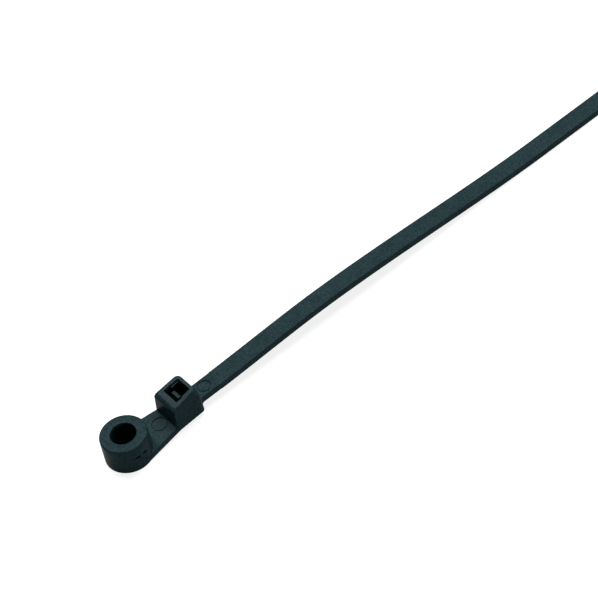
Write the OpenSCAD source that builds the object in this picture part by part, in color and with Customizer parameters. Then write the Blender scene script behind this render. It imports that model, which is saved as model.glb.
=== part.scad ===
// Screw mount cable tie, moulded in one piece.
// The origin is on the screw hole's axis, in the plane that the eye stands on.
// +X runs along the strap, from the eye to the tail, and +Z points up the hole.

/* [Screw eye] */
// Outer diameter of the eye at the top of its wall
eye_d = 8.25; // [7.5:0.05:10]
// Height of the eye
eye_h = 5.3; // [4:0.1:7]
// Diameter of the screw hole
hole_d = 4.5; // [3.2:0.1:5.3]
// How much wider the eye's radius is at its base
eye_draft = 0.12; // [0:0.01:0.3]
// Rounding of the eye's upper rim
rim_edge = 0.4; // [0.1:0.05:0.6]
// Rounding of the hole's upper rim
hole_edge = 0.1; // [0.05:0.01:0.3]
// Rounding of the eye's base
base_edge = 0.2; // [0.1:0.05:0.5]

/* [Neck] */
// Clear length of the neck between the eye and the head
neck_l = 4.05; // [2:0.05:8]
// Thickness of the neck plate
neck_t = 1.1; // [0.8:0.05:1.5]
// Height of the neck's underside at the hole's axis, from where it rises to the head
neck_start = 0.1; // [0.05:0.05:0.4]
// Relief under the head, above the plane of the eye's base
under_relief = 0.5; // [0.1:0.05:0.8]

/* [Head] */
// Height of the head at its eye end
head_h_back = 4.95; // [4.2:0.05:6]
// Height of the head at its strap end
head_h_front = 6; // [5:0.1:7.5]
// Wall between the slot and the eye end, at the top
back_wall = 1.5; // [0.9:0.05:2]
// Wall between the pawl's well and the strap end, at the top
front_wall = 0.6; // [0.5:0.05:1.2]
// Wall on each side of the slot, at the top of the eye end
side_wall = 0.95; // [0.6:0.05:1.2]
// How much narrower each side of the head is at the strap end
head_taper = 0.2; // [0:0.01:0.3]
// How far the eye end's wall slopes out towards its base
back_draft = 0.3; // [0.1:0.05:0.8]
// How far the strap end's wall slopes out towards its base
front_draft = 0.55; // [0.1:0.05:0.8]
// How far each side of the head slopes out towards its base
side_draft = 0.2; // [0.05:0.05:0.4]
// Height of the upright part of the strap end's wall, below its slope
shoulder_h = 3.8; // [2:0.1:4.5]
// Rounding of the upright corners at the eye end
back_corner_r = 0.35; // [0.35:0.05:1]
// Rounding of the upright corners at the strap end
front_corner_r = 1; // [0.4:0.05:1.2]
// Rounding of the top edge at the eye end
back_edge_r = 0.3; // [0.1:0.05:0.3]
// Rounding of the top edge at the strap end
front_edge_r = 0.3; // [0.1:0.05:0.4]

/* [Slot and pawl] */
// Clearance on each side of the strap in the slot
slot_clear = 0.05; // [0.05:0.05:0.3]
// Clearance over the strap's thickness in the slot
pass_clear = 0.1; // [0.05:0.05:0.3]
// Length of the well that the pawl springs back into
well_l = 1.7; // [1.4:0.1:2.4]
// Width of the well, below its ledges
well_w = 2.8; // [2.4:0.1:3]
// Depth of the ledges beside the well, below the head's top
ledge_drop = 0.35; // [0.2:0.05:0.8]
// Width of the pawl
pawl_w = 1.8; // [1.4:0.1:2.2]
// Thickness of the pawl at its tip
pawl_tip_t = 0.6; // [0.35:0.01:0.7]
// Thickness of the pawl's hinge
hinge_t = 0.7; // [0.5:0.05:1]
// Depth of the pawl's tip below the head's top
pawl_drop = 0.7; // [0.4:0.05:1.2]
// Number of teeth on the pawl
pawl_teeth = 3; // [2:1:4]
// Widening of the slot where the strap goes in
lead_in = 0.3; // [0.1:0.05:0.5]

/* [Strap] */
// Length of the whole tie, from the eye to the tip of the tail
tie_l = 150; // [130:1:200]
// Width of the strap
strap_w = 3.6; // [3.2:0.1:4]
// Thickness of the strap
strap_t = 1.3; // [1.1:0.05:1.6]
// Height of the strap's underside where it leaves the head
root_rise = 1.35; // [0.8:0.05:2.2]
// How much narrower the strap's root is on each side
root_inset = 0.06; // [0.02:0.01:0.3]
// Length of the narrower root
root_l = 4.5; // [3.5:0.1:8]
// Radius of the fillet between the root and the head
root_fillet = 0.7; // [0.3:0.05:0.9]
// Rise of the strap's bend above its root
bend_rise = 0.88; // [0:0.02:2]
// Length of strap from the head to the top of the bend
bend_run = 27.7; // [15:0.1:40]
// Length of strap from the top of the bend to where it lies flat
fall_run = 52; // [35:1:65]
// Length of the tapered tail
tail_l = 14; // [8:0.5:20]
// Width of the tail at its tip
tip_w = 1.8; // [1.2:0.1:2.6]
// Thickness of the tail at its tip
tip_t = 0.9; // [0.6:0.05:1.1]

/* [Rack] */
// Pitch of the teeth under the strap
tooth_pitch = 1.2; // [0.9:0.05:1.6]
// Depth of the teeth
tooth_h = 0.4; // [0.25:0.05:0.55]
// Depth of the tooth tips below the two side rails
tooth_sink = 0.05; // [0.02:0.01:0.15]
// Width of the rack between the rails
rack_w = 2.1; // [1.5:0.1:2.6]
// Plain length of strap before the first tooth
rack_start = 8; // [6:0.5:30]

/* [Ejector marks] */
// Diameter of the round mark on the neck
neck_mark_d = 2.9; // [2:0.1:3.2]
// Plain length between the neck's mark and the head
neck_mark_gap = 0.1; // [0.05:0.05:0.5]
// Diameter of the round mark on the strap's root
root_mark_d = 2.5; // [1.5:0.1:2.8]
// Plain length between the root's fillet and its mark
root_mark_gap = 0.35; // [0.1:0.05:0.8]
// Depth of both marks
mark_depth = 0.06; // [0.03:0.01:0.12]

/* [Hidden] */
plastic = [0.17, 0.2, 0.21];
cut = 0.5;
arc_steps = 4;
bend_steps = 24;

eye_r = eye_d / 2;
eye_base_r = eye_r + eye_draft;
hole_r = hole_d / 2;

slot_w = strap_w + 2 * slot_clear;
pass_l = strap_t + pass_clear;
head_top_w = slot_w + 2 * side_wall;
head_top_l = back_wall + pass_l + well_l + front_wall;
head_base_w = head_top_w + 2 * side_draft;
head_base_l = head_top_l + back_draft + front_draft;
head_x = eye_base_r + neck_l;
head_top_x = head_x + back_draft;
head_end_x = head_x + head_base_l;
back_top = under_relief + head_h_back;
front_top = under_relief + head_h_front;
slot_x = head_top_x + back_wall;
well_x = slot_x + pass_l;
well_end_x = well_x + well_l;
base_half = head_base_w / 2;
top_half = head_top_w / 2;
top_slope = atan2(front_top - back_top, head_top_l);

root_w = strap_w - 2 * root_inset;
root_top = root_rise + strap_t;
crest_top = root_top + bend_rise;
crest_x = head_end_x + bend_run;
tip_x = tie_l - eye_base_r;
tail_x = tip_x - tail_l;
rack_x = head_end_x + rack_start;
tooth_count = floor((tail_x - rack_x) / tooth_pitch);

// Smooth step from 0 to 1
function ease(t) = let (u = min(max(t, 0), 1)) u * u * (3 - 2 * u);

// Points of an arc about a centre, from one angle to another
function arc(centre, r, from, to) =
    [for (i = [0 : arc_steps]) let (a = from + (to - from) * i / arc_steps)
        [centre[0] + r * cos(a), centre[1] + r * sin(a)]];

// Height of the strap's upper face, before the tail is thinned
function spine(x) = x < crest_x
    ? root_top + bend_rise * ease((x - head_end_x) / bend_run)
    : crest_top - (crest_top - strap_t) * ease((x - crest_x) / fall_run);

// Height of the strap's upper face and of its underside
function over(x) = spine(x) - (strap_t - tip_t) * min(max((x - tail_x) / tail_l, 0), 1);
function under(x) = spine(x) - strap_t;

// Height of the neck's underside
function neck_under(x) = neck_start + (under_relief - neck_start) * x / head_x;

// Height of the head's sloping top
function head_top(x) = back_top + (front_top - back_top) * (x - head_top_x) / head_top_l;

// Stations along the strap, close together over the bend
root_start = head_end_x - front_wall;
stations = concat(
    [root_start],
    [for (i = [0 : bend_steps]) head_end_x + bend_run * i / bend_steps],
    [for (i = [1 : bend_steps]) crest_x + fall_run * i / bend_steps],
    [tail_x, tip_x]);

// Turns a side view drawn in x and z into a bar of a given width, centred on the tie
module side_bar(width) {
    translate([0, width / 2, 0])
        rotate([90, 0, 0])
            linear_extrude(width)
                children();
}

module screw_eye() {
    rotate_extrude($fn = 96)
        polygon(concat(
            [[0, 0]],
            arc([eye_base_r - base_edge, base_edge], base_edge, -90, 0),
            arc([eye_r - rim_edge, eye_h - rim_edge], rim_edge, 0, 90),
            [[0, eye_h]]));
}

// The hole is straight, and its upper rim is rounded for the screw
module screw_hole() {
    rotate_extrude($fn = 96)
        polygon(concat(
            [[0, -cut], [hole_r, -cut]],
            arc([hole_r + hole_edge, eye_h - hole_edge], hole_edge, 180, 90),
            [[hole_r + hole_edge, eye_h + cut], [0, eye_h + cut]]));
}

// The neck rises from the eye into the head. Its edges leave the eye as tangents.
module neck() {
    inside_x = slot_x - 2 * lead_in;
    end_y = base_half - side_draft;
    turn = atan2(end_y, slot_x) + acos(eye_base_r / norm([slot_x, end_y]));
    touch = [eye_base_r * cos(turn), eye_base_r * sin(turn)];
    mark_x = head_x - neck_mark_gap - neck_mark_d / 2;
    difference() {
        intersection() {
            linear_extrude(eye_h)
                polygon([[0, touch[1]], touch, [slot_x, end_y],
                    [slot_x, -end_y], [touch[0], -touch[1]], [0, -touch[1]]]);
            side_bar(2 * eye_d)
                polygon([[0, neck_under(0)], [inside_x, neck_under(inside_x)],
                    [inside_x, neck_under(inside_x) + neck_t], [0, neck_under(0) + neck_t]]);
        }
        translate([mark_x, 0, neck_under(mark_x) + neck_t])
            rotate([0, -atan2(under_relief - neck_start, head_x), 0])
                translate([0, 0, -mark_depth])
                    cylinder(h = cut, d = neck_mark_d, $fn = 64);
    }
}

// A round piece with a rounded upper edge, set into a corner of the head's sloping top
module top_corner(x, r, edge) {
    translate([x, 0, head_top(x)])
        rotate([0, -top_slope, 0])
            rotate_extrude($fn = 48)
                polygon(concat([[0, -edge]], arc([r - edge, -edge], edge, 0, 90), [[0, 0]]));
}

// A block with sloping walls and rounded corners, under a top that rises towards the strap.
// The strap end's wall is upright up to its shoulder.
module head_block() {
    back_r = back_corner_r;
    front_r = front_corner_r;
    end_half = base_half - head_taper;
    lean = (shoulder_h - neck_t) / (head_h_front - neck_t);
    hull()
        for (side = [-1, 1]) {
            translate([head_x + back_r, side * (base_half - back_r), under_relief])
                cylinder(h = neck_t, r = back_r, $fn = 48);
            translate([head_end_x - front_r, side * (end_half - front_r), under_relief])
                cylinder(h = neck_t, r = front_r, $fn = 48);
            translate([head_end_x - front_r, side * (end_half - side_draft * lean - front_r), under_relief])
                cylinder(h = shoulder_h, r = front_r, $fn = 48);
            translate([0, side * (top_half - back_r), 0])
                top_corner(head_top_x + back_r, back_r, back_edge_r);
            translate([0, side * (top_half - head_taper - front_r), 0])
                top_corner(head_top_x + head_top_l - front_r, front_r, front_edge_r);
        }
}

// The strap's way through the head, widened where it goes in, and the pawl's well beside it.
// Above the well's two ledges, which slope with the head's top, the mouth is as wide as the slot.
module slot() {
    depth = front_top + 2 * cut;
    mouth_end_w = slot_w - 2 * head_taper;
    translate([slot_x, -slot_w / 2, -cut])
        cube([pass_l, slot_w, depth]);
    translate([well_x - cut, -well_w / 2, -cut])
        cube([well_l + cut, well_w, depth]);
    intersection() {
        linear_extrude(depth)
            polygon([[well_x - cut, slot_w / 2], [well_end_x, mouth_end_w / 2],
                [well_end_x, -mouth_end_w / 2], [well_x - cut, -slot_w / 2]]);
        side_bar(2 * slot_w)
            polygon([[slot_x, head_top(slot_x) - ledge_drop], [head_end_x, head_top(head_end_x) - ledge_drop],
                [head_end_x, depth], [slot_x, depth]]);
    }
    side_bar(slot_w)
        polygon([[slot_x - lead_in, under_relief - cut], [slot_x - lead_in, under_relief],
            [slot_x + cut, under_relief + 2 * lead_in + cut], [slot_x + cut, under_relief - cut]]);
}

// A springy tongue, hinged low on the strap end's wall. Its teeth stand in the slot as deep as
// the strap's own teeth, and its end is the uppermost locking face.
module pawl() {
    face_x = slot_x + strap_t - tooth_h;
    tip = head_top(face_x) - pawl_drop;
    foot = under_relief + hinge_t;
    wall_x = well_end_x + front_wall / 2;
    side_bar(pawl_w)
        polygon(concat(
            [[wall_x, foot], [face_x + tooth_h + pawl_tip_t, foot]],
            [for (i = [pawl_teeth : -1 : 1], bite = [tooth_h, 0])
                [face_x + bite, tip - (bite == 0 ? i - 1 : i) * tooth_pitch]],
            [[face_x + pawl_tip_t, tip], [face_x + tooth_h + hinge_t, tip - pawl_teeth * tooth_pitch],
                [wall_x, foot + hinge_t]]));
}

// The strap seen from above: a filleted, narrower root, the full width and the tapered tail
module strap_outline() {
    root_end = head_end_x + root_l;
    half = concat(
        [[root_start, root_w / 2 + root_fillet]],
        arc([head_end_x + root_fillet, root_w / 2 + root_fillet], root_fillet, 180, 270),
        [[root_end, root_w / 2], [root_end + root_inset, strap_w / 2], [tail_x, strap_w / 2]],
        arc([tip_x - tip_w / 2, 0], tip_w / 2, 90, 0));
    polygon(concat(half, [for (i = [len(half) - 2 : -1 : 0]) [half[i][0], -half[i][1]]]));
}

// The sunk rack: each tooth has a steep face towards the head and a ramp towards the tail
module rack_cut() {
    rack_end = rack_x + tooth_count * tooth_pitch;
    side_bar(rack_w)
        polygon(concat(
            [[rack_x, under(rack_x) - cut], [rack_x, under(rack_x) + tooth_sink]],
            [for (i = [1 : tooth_count - 1], depth = [tooth_h, tooth_sink]) let (x = rack_x + i * tooth_pitch)
                [x, under(x) + depth]],
            [[rack_end, under(rack_end) + tooth_h], [rack_end, under(rack_end) - cut]],
            [for (i = [len(stations) - 1 : -1 : 0]) let (x = stations[i])
                if (x > rack_x && x < rack_end) [x, under(x) - cut]]));
}

module strap() {
    mark_x = head_end_x + root_fillet + root_mark_gap + root_mark_d / 2;
    difference() {
        intersection() {
            side_bar(2 * strap_w)
                polygon(concat(
                    [for (x = stations) [x, over(x)]],
                    [for (i = [len(stations) - 1 : -1 : 0]) [stations[i], under(stations[i])]]));
            translate([0, 0, -cut])
                linear_extrude(crest_top + 2 * cut)
                    strap_outline();
        }
        rack_cut();
        translate([mark_x, 0, over(mark_x) - mark_depth])
            cylinder(h = cut, d = root_mark_d, $fn = 64);
    }
}

module cable_tie() {
    color(plastic)
        union() {
            difference() {
                union() {
                    screw_eye();
                    neck();
                }
                screw_hole();
            }
            difference() {
                head_block();
                slot();
            }
            pawl();
            strap();
        }
}

cable_tie();
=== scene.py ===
"""Looks of the screw mount cable tie: one moulding of black nylon, lying on a white table.

Sizes are in millimetres, as in the part's source, and the finished mesh is scaled to metres once.
"""

import math

import bmesh
import bpy
from mathutils import Matrix, Vector


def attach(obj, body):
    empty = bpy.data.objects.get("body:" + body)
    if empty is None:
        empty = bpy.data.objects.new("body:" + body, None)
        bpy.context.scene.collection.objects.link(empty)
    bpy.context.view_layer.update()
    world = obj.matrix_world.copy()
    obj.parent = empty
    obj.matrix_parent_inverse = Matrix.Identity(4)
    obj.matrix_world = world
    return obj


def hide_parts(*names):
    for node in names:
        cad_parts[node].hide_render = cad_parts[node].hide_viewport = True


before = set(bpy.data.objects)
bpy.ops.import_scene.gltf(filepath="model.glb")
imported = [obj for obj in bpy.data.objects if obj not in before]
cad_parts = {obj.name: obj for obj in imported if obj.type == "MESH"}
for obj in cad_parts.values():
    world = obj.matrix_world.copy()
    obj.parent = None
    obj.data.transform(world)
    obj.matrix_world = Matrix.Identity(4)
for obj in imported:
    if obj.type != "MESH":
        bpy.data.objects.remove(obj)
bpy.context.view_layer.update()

MM = 0.001

# A cutting shape's reach past a surface, the gap that a weld closes, and the least radius that is turned
CUT = 0.5
WELD = 0.0005
HAIR = 0.001

# Steps along small edges, rounded edges, corners and longer runs
FINE_STEPS = 4
EDGE_STEPS = 6
CORNER_STEPS = 8
EYE_STEPS = 160
NECK_STEPS = 24
STRAP_STEPS = 110
RACK_STEPS = 60
MARK_STEPS = 72
TIP_TURN = 10

# Screw eye
EYE_R = 4.125
EYE_BASE_R = 4.245
EYE_H = 5.3
HOLE_R = 2.25
RIM_EDGE = 0.4
HOLE_EDGE = 0.1
BASE_EDGE = 0.15

# Neck plate
NECK_L = 4.05
NECK_T = 1.1
NECK_START = 0.1
NECK_EDGE = 0.35
NECK_LOW_EDGE = 0.1
NECK_ROOT_R = 3.2
NECK_FILLET = 0.3
NECK_FILLET_HALF = 2.2
NECK_FILLET_END = 2.7
NECK_FILLET_TIP = 0.04
NECK_FILLET_STOP = -8

# Strap
TIE_L = 150
STRAP_W = 3.6
STRAP_T = 1.3
ROOT_RISE = 1.35
ROOT_INSET = 0.06
ROOT_L = 4.5
ROOT_FILLET = 0.9
BEND_RISE = 0.88
BEND_RUN = 27.7
FALL_RUN = 52
TAIL_L = 14
TIP_W = 1.8
TIP_T = 0.9
TOP_EDGE = 0.16
LOW_EDGE = 0.08
TOP_EDGE_SHARE = 0.6
LOW_EDGE_SHARE = 0.4

# Slot and pawl
SLOT_SPARE = 0.1
SLOT_W = STRAP_W + SLOT_SPARE
PASS_L = STRAP_T + SLOT_SPARE
WELL_L = 1.7
WELL_W = 2.8
LEDGE_DROP = 0.35
PAWL_W = 1.8
PAWL_TIP_T = 0.6
HINGE_T = 0.7
PAWL_DROP = 0.7
PAWL_TEETH = 3
LEAD_IN = 0.3

# Head
HEAD_X = EYE_BASE_R + NECK_L
HEAD_LOW = 0.5
FOOT_TOP = HEAD_LOW + NECK_T
BACK_DRAFT = 0.3
FRONT_DRAFT = 0.55
SIDE_DRAFT = 0.2
HEAD_TAPER = 0.2
BACK_WALL = 1.5
FRONT_WALL = 0.6
SIDE_WALL = 0.95
BACK_TOP = 5.45
FRONT_TOP = 6.49
SHOULDER = 4.3
BACK_CORNER_R = 0.25
FRONT_CORNER_R = 1.0
FOOT_CORNER_R = 0.5
BACK_EDGE_R = 0.6
TOP_EDGE_R = 0.3
FOOT_EDGE_R = 0.12
FRONT_FOOT_R = 0.4
FOOT_ANGLES = (-90, -60, -30, 0)
TOP_ANGLES = (0, 15, 30, 45, 60, 75, 90)

# Rack under the strap
TOOTH_PITCH = 1.2
TOOTH_H = 0.4
TOOTH_SINK = 0.05
RACK_W = 2.1
RACK_START = 8
BITE = 0.04

# Moulding marks
NECK_MARK_R = 1.45
NECK_MARK_GAP = 0.1
ROOT_MARK_R = 1.25
ROOT_MARK_GAP = 1.05
MARK_SINK = 0.03
MARK_GROOVE = 0.16
MARK_LINE = 0.2
GATE_Z = 3.0
GATE_H = 0.38
GATE_BED = -3.7
GATE_RUNS = [(-0.95, 0.02), (0.5, 1.42)]

# Finish: scale per metre, detail and roughness of each noise, its shares, and the colours of the grain
CLOUDS = (420, 3, 0.55)
MOTTLE = (2100, 3, 0.6)
GRAIN = (5200, 2, 0.5)
CLOUDS_SHARE = 0.15
MOTTLE_SHARE = 0.27
GRAIN_SHARE = 0.58
DARK_STOP = (0.39, (0.006, 0.0205, 0.0245, 1))
MIDDLE_STOP = (0.5, (0.0145, 0.037, 0.0425, 1))
LIGHT_STOP = (0.61, (0.026, 0.058, 0.065, 1))
LEAST_ROUGH = 0.25
MOTTLE_ROUGH = 0.06
GRAIN_ROUGH = 0.1
MOTTLE_BUMP = 0.4
GRAIN_BUMP = 0.6
BUMP_STRENGTH = 0.5
BUMP_H = 0.03
SHINE = 0.04
SHARP_ANGLE = 38
FLAT_WEIGHT = 100

# Table and light, in metres and watts
TABLE_HALF = 2
TABLE_GAP = 0.00002
TABLE_SEEN = 0.85
TABLE_MIRRORED = 0.28
TABLE_PAINT = 0.36
# Table colour inside the eye's circle: painted shade under the eye, also seen through its hole
PAINTED_EYE_SHADE = 0.04
SKY_LEVEL = 0.015
LAMP_AIM = (0.03, 0, 0)
LAMP_DISTANCE = 2

# Places along the tie and across it that follow from the sizes
HEAD_TOP_X = HEAD_X + BACK_DRAFT
SLOT_X = HEAD_TOP_X + BACK_WALL
WELL_X = SLOT_X + PASS_L
WELL_END_X = WELL_X + WELL_L
HEAD_TOP_END_X = WELL_END_X + FRONT_WALL
HEAD_END_X = HEAD_TOP_END_X + FRONT_DRAFT
HEAD_TOP_HALF = SLOT_W / 2 + SIDE_WALL

# The root's fillet touches the strap's side and the head's rounded corner
CORNER_SHARE = (FRONT_TOP - ROOT_RISE - STRAP_T) / (FRONT_TOP - FOOT_TOP)
CORNER_R = FRONT_CORNER_R + (FOOT_CORNER_R - FRONT_CORNER_R) * CORNER_SHARE
CORNER_X = HEAD_END_X - CORNER_R
CORNER_Y = HEAD_TOP_HALF - HEAD_TAPER + SIDE_DRAFT * CORNER_SHARE - CORNER_R
FILLET_REACH = CORNER_R + ROOT_FILLET
FILLET_Y = STRAP_W / 2 - ROOT_INSET + ROOT_FILLET
FILLET_X = CORNER_X + math.sqrt(FILLET_REACH**2 - (FILLET_Y - CORNER_Y) ** 2)
ROOT_X = CORNER_X + (FILLET_X - CORNER_X) * CORNER_R / FILLET_REACH

# Bend, tail and rack along the strap
CREST_X = HEAD_END_X + BEND_RUN
REST_X = CREST_X + FALL_RUN
TIP_X = TIE_L - EYE_BASE_R
TAIL_X = TIP_X - TAIL_L
RACK_X = HEAD_END_X + RACK_START
TOOTH_COUNT = math.floor((TAIL_X - RACK_X) / TOOTH_PITCH)


def ease(share):
    """Smooth step from 0 to 1."""
    share = min(max(share, 0), 1)
    return share * share * (3 - 2 * share)


def strap_under(x):
    """Height of the strap's underside."""
    rise = BEND_RISE * ease((x - HEAD_END_X) / BEND_RUN)
    fall = (BEND_RISE + ROOT_RISE) * ease((x - CREST_X) / FALL_RUN)
    return ROOT_RISE + rise - fall


def strap_over(x):
    """Height of the strap's upper face, thinned along the tail."""
    thinned = (STRAP_T - TIP_T) * min(max((x - TAIL_X) / TAIL_L, 0), 1)
    return strap_under(x) + STRAP_T - thinned


def neck_under(x):
    """Height of the neck's underside, which rises from the eye to the head."""
    return NECK_START + (HEAD_LOW - NECK_START) * x / HEAD_X


def neck_over(x):
    """Height of the neck's upper face."""
    return neck_under(x) + NECK_T


def head_top(x):
    """Height of the head's sloping top."""
    share = (x - HEAD_TOP_X) / (HEAD_TOP_END_X - HEAD_TOP_X)
    return BACK_TOP + (FRONT_TOP - BACK_TOP) * share


def arc(centre, radius, start, end, steps):
    """Points of an arc about a centre, between two angles in degrees."""
    points = []
    for i in range(steps + 1):
        angle = math.radians(start + (end - start) * i / steps)
        points.append((centre[0] + radius * math.cos(angle), centre[1] + radius * math.sin(angle)))
    return points


def solid(name, points, faces):
    """A closed mesh object with its faces pointing outwards."""
    mesh = bpy.data.meshes.new(name)
    mesh.from_pydata(points, [], faces)
    shape = bmesh.new()
    shape.from_mesh(mesh)
    bmesh.ops.recalc_face_normals(shape, faces=shape.faces)
    shape.to_mesh(mesh)
    shape.free()
    made = bpy.data.objects.new(name, mesh)
    bpy.context.scene.collection.objects.link(made)
    return made


def bar(name, outline, place_low, place_high):
    """A prism: an outline drawn at two heights, each given by a function that places its points."""
    count = len(outline)
    points = [place_low(*p) for p in outline] + [place_high(*p) for p in outline]
    sides = [(i, (i + 1) % count, count + (i + 1) % count, count + i) for i in range(count)]
    caps = [tuple(range(count - 1, -1, -1)), tuple(range(count, 2 * count))]
    return solid(name, points, sides + caps)


def upright(name, outline, low, high):
    """A prism that stands on an outline in x and y."""
    return bar(name, outline, lambda x, y: (x, y, low), lambda x, y: (x, y, high))


def across(name, outline, width):
    """A prism across the tie, from an outline in x and z."""
    return bar(name, outline, lambda x, z: (x, -width / 2, z), lambda x, z: (x, width / 2, z))


def turned(name, profile, steps):
    """A closed profile in radius and height, turned about the z axis."""
    count = len(profile)
    points = []
    for i in range(steps):
        angle = 2 * math.pi * i / steps
        points += [(r * math.cos(angle), r * math.sin(angle), z) for r, z in profile]
    faces = []
    for i in range(steps):
        here = i * count
        there = (i + 1) % steps * count
        for j in range(count):
            k = (j + 1) % count
            faces.append((here + j, there + j, there + k, here + k))
    return solid(name, points, faces)


def loft(name, rings):
    """A closed skin through rings of points, with a flat cap at each end."""
    count = len(rings[0])
    last = (len(rings) - 1) * count
    faces = [tuple(range(count - 1, -1, -1)), tuple(range(last, last + count))]
    for i in range(len(rings) - 1):
        here = i * count
        for j in range(count):
            k = (j + 1) % count
            faces.append((here + j, here + k, here + count + k, here + count + j))
    return solid(name, [p for ring in rings for p in ring], faces)


def discard(owner):
    """Deletes an object and its mesh."""
    spent = owner.data
    bpy.data.objects.remove(owner)
    bpy.data.meshes.remove(spent)


def kept_mesh(owner):
    """Makes an object's evaluated shape its own plain mesh and drops its modifiers."""
    bpy.context.view_layer.update()
    graph = bpy.context.evaluated_depsgraph_get()
    mesh = bpy.data.meshes.new_from_object(owner.evaluated_get(graph))
    owner.modifiers.clear()
    old = owner.data
    owner.data = mesh
    bpy.data.meshes.remove(old)
    return owner


def rounded(owner, widths, segments):
    """Rounds edges: widths gives an edge's width from its two ends, or 0 to leave it."""
    mesh = owner.data
    weights = mesh.attributes.new("bevel_weight_edge", "FLOAT", "EDGE")
    largest = 0
    found = []
    for edge in mesh.edges:
        ends = [mesh.vertices[i].co for i in edge.vertices]
        found.append(widths(*ends))
        largest = max(largest, found[-1])
    for i, width in enumerate(found):
        weights.data[i].value = width / largest
    bevel = owner.modifiers.new("rounding", "BEVEL")
    bevel.limit_method = "WEIGHT"
    bevel.width = largest
    bevel.segments = segments
    bevel.use_clamp_overlap = False
    return kept_mesh(owner)


def combined(owner, other, operation):
    """Joins another solid to this one, or cuts it out of this one, and deletes it."""
    boolean = owner.modifiers.new("combined", "BOOLEAN")
    boolean.object = other
    boolean.operation = operation
    boolean.solver = "EXACT"
    kept_mesh(owner)
    discard(other)
    return owner


def welded(owner):
    """Takes out the slivers that cuts leave, and the tiny faces between them."""
    shape = bmesh.new()
    shape.from_mesh(owner.data)
    bmesh.ops.remove_doubles(shape, verts=shape.verts, dist=WELD)
    bmesh.ops.dissolve_degenerate(shape, edges=shape.edges, dist=WELD)
    shape.to_mesh(owner.data)
    shape.free()
    return owner


def screw_eye():
    """The turned eye: a drafted wall, a rounded upper rim and a straight hole."""
    profile = [(HOLE_R, 0)]
    profile += arc((EYE_BASE_R - BASE_EDGE, BASE_EDGE), BASE_EDGE, -90, 0, EDGE_STEPS)
    profile += arc((EYE_R - RIM_EDGE, EYE_H - RIM_EDGE), RIM_EDGE, 0, 90, CORNER_STEPS)
    profile += arc((HOLE_R + HOLE_EDGE, EYE_H - HOLE_EDGE), HOLE_EDGE, 90, 180, FINE_STEPS)
    return turned("screw_eye", profile, EYE_STEPS)


def neck_plate():
    """The plate that rises from the eye into the head, with edges that leave the eye as tangents."""
    end_y = HEAD_TOP_HALF
    turn = math.atan2(end_y, SLOT_X) + math.acos(EYE_BASE_R / math.hypot(SLOT_X, end_y))
    touch_x = EYE_BASE_R * math.cos(turn)
    touch_y = EYE_BASE_R * math.sin(turn)
    inside_x = SLOT_X - 2 * LEAD_IN
    inside_y = touch_y + (end_y - touch_y) * (inside_x - touch_x) / (SLOT_X - touch_x)
    inner = math.degrees(turn)
    outline = [(inside_x, -inside_y), (inside_x, inside_y), (touch_x, touch_y)]
    outline += arc((0, 0), NECK_ROOT_R, inner, -inner, NECK_STEPS)
    outline += [(touch_x, -touch_y)]
    plate = bar(
        "neck_plate",
        outline,
        lambda x, y: (x, y, neck_under(x)),
        lambda x, y: (x, y, neck_over(x)),
    )

    def side_edges(start, end):
        if abs(start.x - end.x) < NECK_L:
            return 0
        return NECK_EDGE if start.z > neck_under(start.x) + NECK_T / 2 else NECK_LOW_EDGE

    return rounded(plate, side_edges, EDGE_STEPS)


def head_level(z_back, z_front, back_inset, side_inset, inset):
    """A ring of points round the head at one level, which is given by its height at both ends.

    The insets are those of the back wall, of the sides' back ends, and of the front wall and front ends.
    """
    back_share = (BACK_TOP - max(z_back, FOOT_TOP)) / (BACK_TOP - FOOT_TOP)
    front_share = (FRONT_TOP - max(z_front, FOOT_TOP)) / (FRONT_TOP - FOOT_TOP)
    slope_share = (FRONT_TOP - max(z_front, SHOULDER)) / (FRONT_TOP - SHOULDER)
    back_x = HEAD_TOP_X - BACK_DRAFT * back_share + back_inset
    front_x = HEAD_TOP_END_X + FRONT_DRAFT * slope_share - inset
    back_half = HEAD_TOP_HALF + SIDE_DRAFT * back_share - side_inset
    front_half = HEAD_TOP_HALF - HEAD_TAPER + SIDE_DRAFT * front_share - inset
    back_r = BACK_CORNER_R + back_inset / 2
    front_r = FRONT_CORNER_R + (FOOT_CORNER_R - FRONT_CORNER_R) * front_share - inset
    ring = arc((back_x + back_r, back_r - back_half), back_r, 180, 270, CORNER_STEPS)
    ring += arc((front_x - front_r, front_r - front_half), front_r, -90, 0, CORNER_STEPS)
    ring += arc((front_x - front_r, front_half - front_r), front_r, 0, 90, CORNER_STEPS)
    ring += arc((back_x + back_r, back_half - back_r), back_r, 90, 180, CORNER_STEPS)
    rise = (z_front - z_back) / (front_x - back_x)
    return [(x, y, z_back + (x - back_x) * rise) for x, y in ring]


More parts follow.
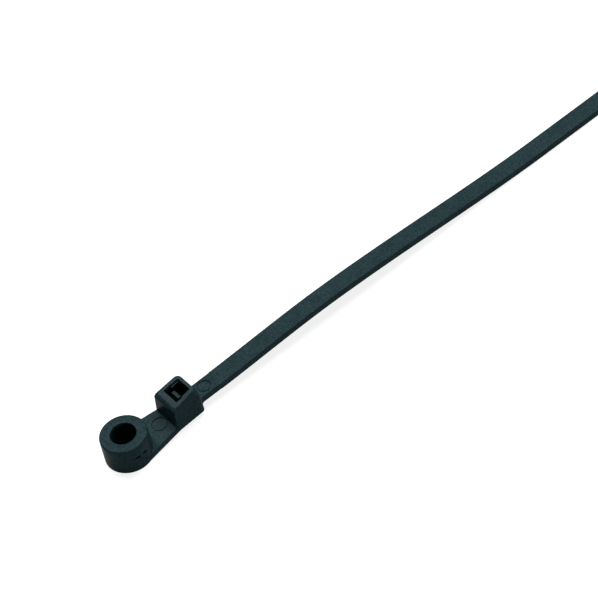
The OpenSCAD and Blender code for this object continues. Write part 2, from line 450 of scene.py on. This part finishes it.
def head_block():
    """The head: drafted walls, rounded corners and edges, and a top that rises towards the strap."""
    levels = []
    for angle in FOOT_ANGLES:
        inset = FOOT_EDGE_R * (1 - math.cos(math.radians(angle)))
        front_inset = FRONT_FOOT_R * (1 - math.cos(math.radians(angle)))
        lift = 1 + math.sin(math.radians(angle))
        z_back = HEAD_LOW + FOOT_EDGE_R * lift
        z_front = HEAD_LOW + FRONT_FOOT_R * lift
        levels.append(head_level(z_back, z_front, inset, inset, front_inset))
    levels.append(head_level(FOOT_TOP, FOOT_TOP, 0, 0, 0))
    share = (SHOULDER - FOOT_TOP) / (FRONT_TOP - FOOT_TOP)
    levels.append(head_level(FOOT_TOP + (BACK_TOP - FOOT_TOP) * share, SHOULDER, 0, 0, 0))
    for angle in TOP_ANGLES:
        back_inset = BACK_EDGE_R * (1 - math.cos(math.radians(angle)))
        inset = TOP_EDGE_R * (1 - math.cos(math.radians(angle)))
        drop = 1 - math.sin(math.radians(angle))
        z_back = head_top(HEAD_TOP_X + back_inset) - BACK_EDGE_R * drop
        z_front = head_top(HEAD_TOP_END_X - inset) - TOP_EDGE_R * drop
        levels.append(head_level(z_back, z_front, back_inset, inset, inset))
    return loft("head_block", levels)


def head_foot():
    """The hollow fillet between the neck and the head's wall, run out at both ends."""
    lean = BACK_DRAFT / (BACK_TOP - FOOT_TOP)
    inside = HEAD_X + NECK_FILLET
    sunk = FOOT_TOP - CUT / 2
    sizes = {
        -NECK_FILLET_END: NECK_FILLET_TIP,
        -NECK_FILLET_HALF: NECK_FILLET,
        NECK_FILLET_HALF: NECK_FILLET,
        NECK_FILLET_END: NECK_FILLET_TIP,
    }
    rings = []
    for y, size in sizes.items():
        centre = (HEAD_X + lean * size - size, neck_over(HEAD_X - size) + size)
        curve = arc(centre, size, -90, NECK_FILLET_STOP, EDGE_STEPS)
        outline = [(inside, curve[-1][1]), (inside, sunk), (curve[0][0], sunk)]
        rings.append([(x, y, z) for x, z in outline + curve])
    return loft("head_foot", rings)


def four_sided(start_x, end_x, start_half, end_half):
    """An outline in x and y, with half a width at each of its two ends."""
    return [(start_x, -start_half), (end_x, -end_half), (end_x, end_half), (start_x, start_half)]


def cut_slot(head):
    """The strap's way through the head, the pawl's well with its ledges, and the lead-in below."""
    top = FRONT_TOP + CUT
    low = HEAD_LOW - CUT
    half = SLOT_W / 2
    mouth_end = half - HEAD_TAPER
    passage = four_sided(SLOT_X, WELL_X, half, half)
    well = four_sided(WELL_X - CUT, WELL_END_X, WELL_W / 2, WELL_W / 2)
    mouth = four_sided(WELL_X - CUT, WELL_END_X, half, mouth_end)
    combined(head, upright("passage", passage, low, top), "DIFFERENCE")
    combined(head, upright("well", well, low, top), "DIFFERENCE")
    ledges = bar(
        "mouth",
        mouth,
        lambda x, y: (x, y, head_top(x) - LEDGE_DROP),
        lambda x, y: (x, y, top),
    )
    combined(head, ledges, "DIFFERENCE")
    ramp = [
        (SLOT_X - LEAD_IN, low),
        (SLOT_X + CUT, low),
        (SLOT_X + CUT, HEAD_LOW + 2 * LEAD_IN + CUT),
        (SLOT_X - LEAD_IN, HEAD_LOW),
    ]
    return combined(head, across("lead_in", ramp, SLOT_W), "DIFFERENCE")


def pawl():
    """The springy tongue with the locking teeth, hinged low on the strap end's wall."""
    face_x = SLOT_X + STRAP_T - TOOTH_H
    tip = head_top(face_x) - PAWL_DROP
    foot = HEAD_LOW + HINGE_T
    wall_x = WELL_END_X + FRONT_WALL / 2
    outline = [(wall_x, foot), (face_x + TOOTH_H + PAWL_TIP_T, foot)]
    for i in range(PAWL_TEETH, 0, -1):
        outline += [(face_x + TOOTH_H, tip - i * TOOTH_PITCH), (face_x, tip - (i - 1) * TOOTH_PITCH)]
    outline += [
        (face_x + PAWL_TIP_T, tip),
        (face_x + TOOTH_H + HINGE_T, tip - PAWL_TEETH * TOOTH_PITCH),
        (wall_x, foot + HINGE_T),
    ]
    return across("pawl", outline, PAWL_W)


def strap_half(x):
    """Half of the strap's width: a filleted, narrower root, the full width and the tail."""
    root = STRAP_W / 2 - ROOT_INSET
    if x < FILLET_X:
        along = FILLET_X - max(x, ROOT_X)
        return FILLET_Y - math.sqrt(ROOT_FILLET**2 - along**2)
    step = ease((x - HEAD_END_X - ROOT_L) / (2 * ROOT_INSET))
    wide = root + ROOT_INSET * step
    if x <= TAIL_X:
        return wide
    round_x = TIP_X - TIP_W / 2
    narrow = wide + (TIP_W / 2 - wide) * min((x - TAIL_X) / (round_x - TAIL_X), 1)
    if x > round_x:
        narrow = math.sqrt(max((TIP_W / 2) ** 2 - (x - round_x) ** 2, 0))
    return narrow


def strap_stations():
    """Places along the strap for its sections: close where its outline curves."""
    root = [HEAD_END_X - FRONT_WALL, ROOT_X]
    bend = math.asin((FILLET_X - ROOT_X) / ROOT_FILLET)
    steps = range(1, CORNER_STEPS + 1)
    root += [FILLET_X - ROOT_FILLET * math.sin(bend * (1 - i / CORNER_STEPS)) for i in steps]
    root += [HEAD_END_X + ROOT_L]
    root += [HEAD_END_X + ROOT_L + 2 * ROOT_INSET * i / CORNER_STEPS for i in steps]
    start = root[-1]
    body = [start + (TAIL_X - start) * i / STRAP_STEPS for i in range(1, STRAP_STEPS + 1)]
    round_x = TIP_X - TIP_W / 2
    tail = [TAIL_X + (round_x - TAIL_X) * i / CORNER_STEPS for i in steps]
    tail += [round_x + TIP_W / 2 * math.sin(math.radians(TIP_TURN * i)) for i in steps]
    return root + body + tail


def strap_section(x):
    """The strap's outline across its length at one place, with rounded edges."""
    half = strap_half(x)
    top = strap_over(x)
    low = strap_under(x)
    soft = min(TOP_EDGE, half * TOP_EDGE_SHARE)
    crisp = min(LOW_EDGE, half * LOW_EDGE_SHARE)
    right = arc((half - crisp, low + crisp), crisp, -90, 0, FINE_STEPS)
    right += arc((half - soft, top - soft), soft, 0, 90, EDGE_STEPS)
    left = [(-y, z) for y, z in reversed(right)]
    return [(x, y, z) for y, z in right + left]


def strap_bar():
    """The strap as a loft through its sections."""
    return loft("strap", [strap_section(x) for x in strap_stations()])


def rack_channel():
    """The sunk strip under the strap that the teeth stand in."""
    end_x = RACK_X + TOOTH_COUNT * TOOTH_PITCH
    places = [RACK_X + (end_x - RACK_X) * i / RACK_STEPS for i in range(RACK_STEPS + 1)]
    outline = [(x, strap_under(x) + TOOTH_H) for x in places]
    outline += [(x, strap_under(x) - CUT) for x in reversed(places)]
    return across("rack_channel", outline, RACK_W)


class Nodes:
    """Builds a node tree: node() adds any node and hands back one of its outputs."""

    def __init__(self, tree):
        self.tree = tree

    def node(self, kind, settings=None, inputs=None, output=0):
        made = self.tree.nodes.new(kind)
        for name, value in (settings or {}).items():
            if name == "stops":
                self.set_stops(made.color_ramp, value)
            else:
                setattr(made, name, value)
        for name, value in (inputs or {}).items():
            if isinstance(value, Value):
                self.tree.links.new(value.socket, made.inputs[name])
            else:
                made.inputs[name].default_value = value
        if not made.outputs:
            return made
        return Value(self, made.outputs[output])

    @staticmethod
    def set_stops(ramp, stops):
        while len(ramp.elements) < len(stops):
            ramp.elements.new(1)
        for element, (place, colour) in zip(ramp.elements, stops):
            element.position = place
            element.color = colour


class Value:
    """A node's output that can be used in sums, with numbers or with other outputs."""

    def __init__(self, nodes, socket):
        self.nodes = nodes
        self.socket = socket

    def maths(self, operation, first, second):
        return self.nodes.node("ShaderNodeMath", {"operation": operation}, {0: first, 1: second})

    def __add__(self, other):
        return self.maths("ADD", self, other)

    def __radd__(self, other):
        return self.maths("ADD", other, self)

    def __sub__(self, other):
        return self.maths("SUBTRACT", self, other)

    def __rsub__(self, other):
        return self.maths("SUBTRACT", other, self)

    def __mul__(self, other):
        return self.maths("MULTIPLY", self, other)

    def __rmul__(self, other):
        return self.maths("MULTIPLY", other, self)


def rack_tooth():
    """One tooth, drawn under a level strap: steep towards the head, a ramp towards the tail."""
    crest = TOOTH_SINK
    root = TOOTH_H + BITE
    length = TOOTH_PITCH - BITE / 2
    outline = [(0, crest), (length, TOOTH_H - BITE / 4), (length, root), (0, root)]
    return across("rack_tooth", outline, RACK_W + 2 * BITE)


def rack_tree(name):
    """Places teeth along the strap's underside and turns each one to its slope."""
    tree = bpy.data.node_groups.new(name, "GeometryNodeTree")
    sockets = tree.interface
    sockets.new_socket("Geometry", in_out="OUTPUT", socket_type="NodeSocketGeometry")
    inputs = {
        "Tooth": "NodeSocketObject",
        "Finish": "NodeSocketMaterial",
        "Count": "NodeSocketInt",
        "Pitch": "NodeSocketFloat",
        "First tooth": "NodeSocketFloat",
        "Root rise": "NodeSocketFloat",
        "Bend rise": "NodeSocketFloat",
        "Bend start": "NodeSocketFloat",
        "Crest": "NodeSocketFloat",
        "Rest": "NodeSocketFloat",
    }
    for label, kind in inputs.items():
        sockets.new_socket(label, in_out="INPUT", socket_type=kind)
    nodes = Nodes(tree)
    given = tree.nodes.new("NodeGroupInput")
    take = {label: Value(nodes, given.outputs[label]) for label in inputs}

    def share(x, start, end):
        return nodes.node(
            "ShaderNodeMapRange",
            {"interpolation_type": "SMOOTHSTEP"},
            {"Value": x, "From Min": start, "From Max": end, "To Min": 0.0, "To Max": 1.0},
        )

    def underside(x):
        rise = take["Bend rise"] * share(x, take["Bend start"], take["Crest"])
        fall = (take["Bend rise"] + take["Root rise"]) * share(x, take["Crest"], take["Rest"])
        return take["Root rise"] + rise - fall

    first = nodes.node("ShaderNodeCombineXYZ", None, {"X": take["First tooth"]})
    step = nodes.node("ShaderNodeCombineXYZ", None, {"X": take["Pitch"]})
    line = nodes.node(
        "GeometryNodeMeshLine",
        {"mode": "OFFSET"},
        {"Count": take["Count"], "Start Location": first, "Offset": step},
    )
    place = nodes.node("GeometryNodeInputPosition")
    x = nodes.node("ShaderNodeSeparateXYZ", None, {"Vector": place})
    ahead = underside(x + take["Pitch"])
    here = underside(x)
    slope = nodes.node("ShaderNodeMath", {"operation": "ARCTAN2"}, {0: here - ahead, 1: take["Pitch"]})
    lift = nodes.node("ShaderNodeCombineXYZ", None, {"Z": here})
    placed = nodes.node("GeometryNodeSetPosition", None, {"Geometry": line, "Offset": lift})
    tilt = nodes.node("ShaderNodeCombineXYZ", None, {"Y": slope})
    turn = nodes.node("FunctionNodeEulerToRotation", None, {"Euler": tilt})
    tooth = nodes.node("GeometryNodeObjectInfo", None, {"Object": take["Tooth"]}, "Geometry")
    teeth = nodes.node(
        "GeometryNodeInstanceOnPoints",
        None,
        {"Points": placed, "Instance": tooth, "Rotation": turn},
    )
    real = nodes.node("GeometryNodeRealizeInstances", None, {"Geometry": teeth})
    finished = nodes.node(
        "GeometryNodeSetMaterial",
        None,
        {"Geometry": real, "Material": take["Finish"]},
    )
    nodes.node("NodeGroupOutput", None, {"Geometry": finished})
    return tree


def rack_teeth(finish):
    """The row of teeth, made by the tree and turned into a plain mesh."""
    tooth = rack_tooth()
    tree = rack_tree("rack_teeth")
    row = solid("rack_teeth", [], [])
    modifier = row.modifiers.new("rack", "NODES")
    modifier.node_group = tree
    values = {
        "Tooth": tooth,
        "Finish": finish,
        "Count": TOOTH_COUNT,
        "Pitch": TOOTH_PITCH,
        "First tooth": RACK_X + BITE,
        "Root rise": ROOT_RISE,
        "Bend rise": BEND_RISE,
        "Bend start": HEAD_END_X,
        "Crest": CREST_X,
        "Rest": REST_X,
    }
    for item in tree.interface.items_tree:
        if item.in_out == "INPUT":
            modifier[item.identifier] = values[item.name]
    kept_mesh(row)
    discard(tooth)
    return row


def ejector_mark(radius, centre, slope):
    """What an ejector pin leaves: a slightly sunk disc with a fine groove around it."""
    inner = radius - MARK_LINE
    profile = [(HAIR, -MARK_SINK), (inner, -MARK_SINK), (inner + MARK_LINE / 4, -MARK_GROOVE)]
    profile += [(radius - MARK_LINE / 4, -MARK_GROOVE), (radius, 0), (radius, CUT), (HAIR, CUT)]
    pin = turned("ejector_mark", profile, MARK_STEPS)
    pin.data.transform(Matrix.Translation(centre) @ Matrix.Rotation(-slope, 4, "Y"))
    return pin


def gate_slit(start, end):
    """A short run of the narrow slit that the cut gate leaves in the eye's wall."""
    front = -EYE_BASE_R - CUT
    outline = [(start, GATE_BED), (start, front), (end, front), (end, GATE_BED)]
    return upright("gate_slit", outline, GATE_Z - GATE_H / 2, GATE_Z + GATE_H / 2)


def nylon():
    """Black nylon with a cool cast, as it comes out of a finely eroded mould."""
    finish = bpy.data.materials.new("black_nylon")
    finish.use_nodes = True
    finish.node_tree.nodes.clear()
    nodes = Nodes(finish.node_tree)
    place = nodes.node("ShaderNodeTexCoord", None, None, "Object")

    def speckle(scale, detail, rough):
        return nodes.node(
            "ShaderNodeTexNoise",
            None,
            {"Vector": place, "Scale": scale, "Detail": detail, "Roughness": rough},
            "Fac",
        )

    clouds = speckle(*CLOUDS)
    mottle = speckle(*MOTTLE)
    grain = speckle(*GRAIN)
    mix = clouds * CLOUDS_SHARE + mottle * MOTTLE_SHARE + grain * GRAIN_SHARE
    colour = nodes.node(
        "ShaderNodeValToRGB",
        {"stops": [DARK_STOP, MIDDLE_STOP, LIGHT_STOP]},
        {"Fac": mix},
    )
    rough = LEAST_ROUGH + mottle * MOTTLE_ROUGH + grain * GRAIN_ROUGH
    height = mottle * MOTTLE_BUMP + grain * GRAIN_BUMP
    bump = nodes.node(
        "ShaderNodeBump",
        None,
        {"Strength": BUMP_STRENGTH, "Distance": BUMP_H * MM, "Height": height},
    )
    shader = nodes.node(
        "ShaderNodeBsdfPrincipled",
        None,
        {"Base Color": colour, "Roughness": rough, "Normal": bump, "Specular IOR Level": SHINE},
    )
    nodes.node("ShaderNodeOutputMaterial", None, {"Surface": shader})
    return finish


def moulding(finish):
    """The whole tie as one closed mesh."""
    tie = screw_eye()
    combined(tie, neck_plate(), "UNION")
    head = cut_slot(head_block())
    combined(head, pawl(), "UNION")
    combined(head, head_foot(), "UNION")
    combined(tie, head, "UNION")
    strap = strap_bar()
    combined(strap, rack_channel(), "DIFFERENCE")
    combined(strap, rack_teeth(finish), "UNION")
    combined(tie, strap, "UNION")
    neck_mark_x = HEAD_X - NECK_MARK_GAP - NECK_MARK_R
    neck_slope = math.atan2(HEAD_LOW - NECK_START, HEAD_X)
    neck_spot = Vector((neck_mark_x, 0, neck_over(neck_mark_x)))
    combined(tie, ejector_mark(NECK_MARK_R, neck_spot, neck_slope), "DIFFERENCE")
    root_mark_x = HEAD_END_X + ROOT_MARK_GAP + ROOT_MARK_R
    climb = strap_over(root_mark_x + ROOT_MARK_R) - strap_over(root_mark_x - ROOT_MARK_R)
    root_slope = math.atan2(climb, 2 * ROOT_MARK_R)
    root_spot = Vector((root_mark_x, 0, strap_over(root_mark_x)))
    combined(tie, ejector_mark(ROOT_MARK_R, root_spot, root_slope), "DIFFERENCE")
    for start, end in GATE_RUNS:
        combined(tie, gate_slit(start, end), "DIFFERENCE")
    welded(tie)
    tie.name = "cable_tie_moulding"
    tie.data.name = tie.name
    tie.data.transform(Matrix.Scale(MM, 4))
    tie.data.materials.clear()
    tie.data.materials.append(finish)
    for face in tie.data.polygons:
        face.use_smooth = True
        face.material_index = 0
    tie.data.set_sharp_from_angle(angle=math.radians(SHARP_ANGLE))
    normals = tie.modifiers.new("flat_faces", "WEIGHTED_NORMAL")
    normals.keep_sharp = True
    normals.weight = FLAT_WEIGHT
    return kept_mesh(tie)


def table():
    """A white table under the tie, which shows white and still takes its shadow; inside the eye's circle
    it is painted dark, as painted shade under the eye and in its hole.
    """
    corners = four_sided(-TABLE_HALF, TABLE_HALF, TABLE_HALF, TABLE_HALF)
    floor = solid("table", [(x, y, -TABLE_GAP) for x, y in corners], [(0, 1, 2, 3)])
    white = bpy.data.materials.new("white_table")
    white.use_nodes = True
    white.node_tree.nodes.clear()
    nodes = Nodes(white.node_tree)
    camera_ray = nodes.node("ShaderNodeLightPath", None, None, "Is Camera Ray")
    glossy_ray = Value(nodes, camera_ray.socket.node.outputs["Is Glossy Ray"])
    clear_ray = Value(nodes, camera_ray.socket.node.outputs["Is Transmission Ray"])
    place = nodes.node("ShaderNodeTexCoord", None, None, "Object")
    away = nodes.node("ShaderNodeVectorMath", {"operation": "LENGTH"}, {0: place}, "Value")
    # Inside the eye's circle the table's colour and its brightness in mirrored rays are cut down:
    # painted shade under the eye and in its hole
    outside_painted_shade = nodes.node("ShaderNodeMath", {"operation": "GREATER_THAN"}, {0: away, 1: EYE_R * MM})
    seen = camera_ray * TABLE_SEEN + (glossy_ray + clear_ray) * (outside_painted_shade * TABLE_MIRRORED)
    level = nodes.node("ShaderNodeCombineColor", None, {"Red": seen, "Green": seen, "Blue": seen})
    paint_with_eye_shade = PAINTED_EYE_SHADE + outside_painted_shade * TABLE_PAINT
    pale = nodes.node("ShaderNodeCombineColor", None, {"Red": paint_with_eye_shade, "Green": paint_with_eye_shade, "Blue": paint_with_eye_shade})
    shade = nodes.node("ShaderNodeBsdfDiffuse", None, {"Color": pale})
    glow = nodes.node("ShaderNodeEmission", None, {"Color": level, "Strength": 1})
    both = nodes.node("ShaderNodeAddShader", None, {0: shade, 1: glow})
    nodes.node("ShaderNodeOutputMaterial", None, {"Surface": both})
    floor.data.materials.append(white)


def softbox(name, heading, height, size, power, colour):
    """A square lamp, aimed at the eye and head from a heading and an angle above the table."""
    lamp = bpy.data.lights.new(name, "AREA")
    lamp.shape = "SQUARE"
    lamp.size = size
    lamp.energy = power
    lamp.color = colour
    box = bpy.data.objects.new(name, lamp)
    bpy.context.scene.collection.objects.link(box)
    around = math.radians(heading)
    above = math.radians(height)
    reach = math.cos(above)
    away = Vector((reach * math.cos(around), reach * math.sin(around), math.sin(above)))
    box.location = Vector(LAMP_AIM) + away * LAMP_DISTANCE
    box.rotation_mode = "QUATERNION"
    box.rotation_quaternion = (-away).to_track_quat("-Z", "Y")


def studio():
    """White surroundings with an even, low light, and soft lamps."""
    world = bpy.data.worlds.new("studio")
    bpy.context.scene.world = world
    world.use_nodes = True
    world.node_tree.nodes.clear()
    nodes = Nodes(world.node_tree)
    camera_ray = nodes.node("ShaderNodeLightPath", None, None, "Is Camera Ray")
    strength = SKY_LEVEL + camera_ray * (1 - SKY_LEVEL)
    sky = nodes.node("ShaderNodeBackground", None, {"Color": (1, 1, 1, 1), "Strength": strength})
    nodes.node("ShaderNodeOutputWorld", None, {"Surface": sky})
    softbox("key_light", heading=32, height=64, size=1.3, power=36, colour=(0.98, 0.99, 1))
    softbox("back_light", heading=92, height=53, size=0.5, power=12.5, colour=(1, 0.99, 1))
    softbox("fill_light", heading=264, height=6, size=0.4, power=6.5, colour=(0.98, 1, 0.99))


def photo_camera():
    """The photograph's viewpoint, found from the eye's circles and the head's and strap's edges."""
    lens_pixels = 2406.4
    frame_pixels = 598
    tilt = math.radians(47.061)
    heading = math.radians(60.356)
    roll = math.radians(13.767)
    camera = bpy.data.cameras.new("photo_camera")
    camera.sensor_fit = "HORIZONTAL"
    camera.sensor_width = 36
    camera.lens = lens_pixels / frame_pixels * camera.sensor_width
    camera.clip_start = 0.01
    camera.clip_end = 20
    reach = math.cos(tilt)
    forward = Vector((reach * math.cos(heading), reach * math.sin(heading), -math.sin(tilt)))
    level = Vector((math.sin(heading), -math.cos(heading), 0))
    rise = level.cross(forward)
    right = level * math.cos(roll) - rise * math.sin(roll)
    up = level * math.sin(roll) + rise * math.cos(roll)
    place = Vector((-99.135, -241.759, 305.243)) * MM
    owner = bpy.data.objects.new("photo_camera", camera)
    bpy.context.scene.collection.objects.link(owner)
    columns = Matrix((right, up, -forward)).transposed()
    owner.matrix_world = Matrix.Translation(place) @ columns.to_4x4()
    bpy.context.scene.camera = owner


bpy.context.scene.view_settings.view_transform = "Standard"
photo_camera()
studio()
table()
tie = moulding(nylon())
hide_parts("cable_tie")
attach(tie, "root")
